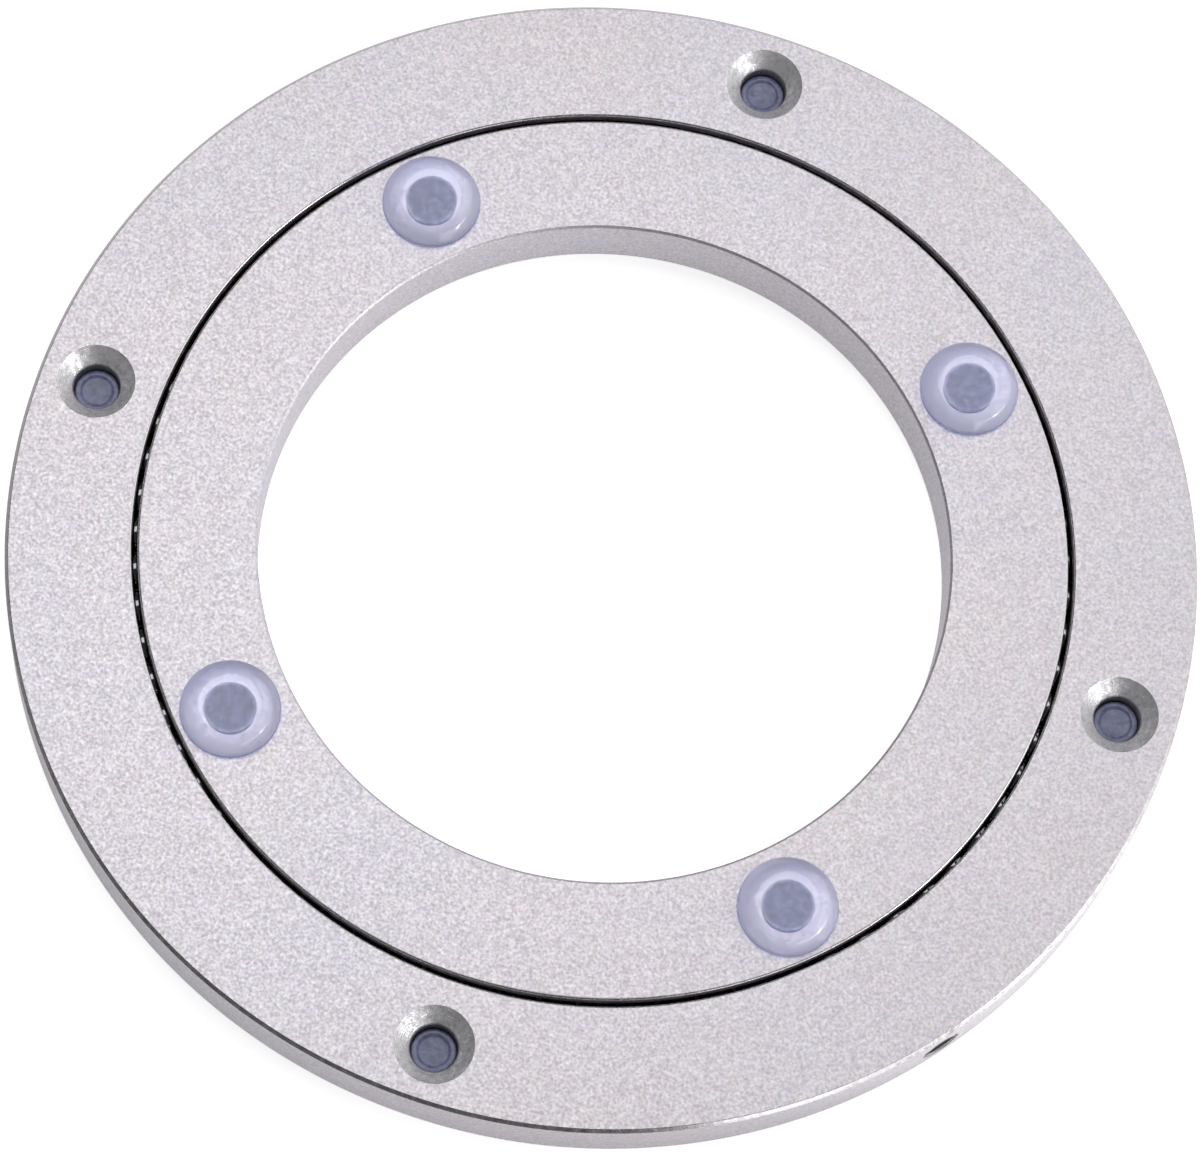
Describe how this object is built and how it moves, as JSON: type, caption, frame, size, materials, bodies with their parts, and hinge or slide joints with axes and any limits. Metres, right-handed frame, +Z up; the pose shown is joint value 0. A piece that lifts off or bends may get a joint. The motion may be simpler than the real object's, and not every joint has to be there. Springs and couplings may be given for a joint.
{
  "type": "lazy susan bearing",
  "caption": "Flat round turntable bearing: two aluminium rings, one inside the other, that turn on a row of balls, with clear push-in feet below and above.",
  "frame": {"origin": "on the turning axis, at the level of the table that the lower feet stand on", "axes": "+Z up along the turning axis, +X through a screw hole of the outer ring"},
  "size_m": [0.14, 0.14, 0.0134],
  "materials": {
    "ring_metal": "sandblasted and clear anodised, with bare turned countersinks",
    "ball_steel": "polished ball steel",
    "screw_steel": "bright zinc plated, slotted grub screw",
    "foot_plastic": "clear soft PVC with a faint lilac blue tint"
  },
  "bodies": {
    "outer": {"outer_ring": "ring_metal", "filling_screw": "screw_steel", "lower_feet": "foot_plastic"},
    "inner": {"inner_ring": "ring_metal", "upper_feet": "foot_plastic"},
    "balls": {"bearing_balls": "ball_steel"}
  },
  "joints": [
    {"name": "inner_spin", "type": "hinge", "parent": "outer", "child": "inner", "pos_m": [0, 0, 0.0067], "axis": [0, 0, 1], "continuous": true},
    {"name": "ball_orbit", "type": "hinge", "parent": "outer", "child": "balls", "pos_m": [0, 0, 0.0067], "axis": [0, 0, 1], "continuous": true}
  ],
  "couplings": [
    {"joint": "ball_orbit", "follows": "inner_spin", "ratio": 0.4855}
  ]
}
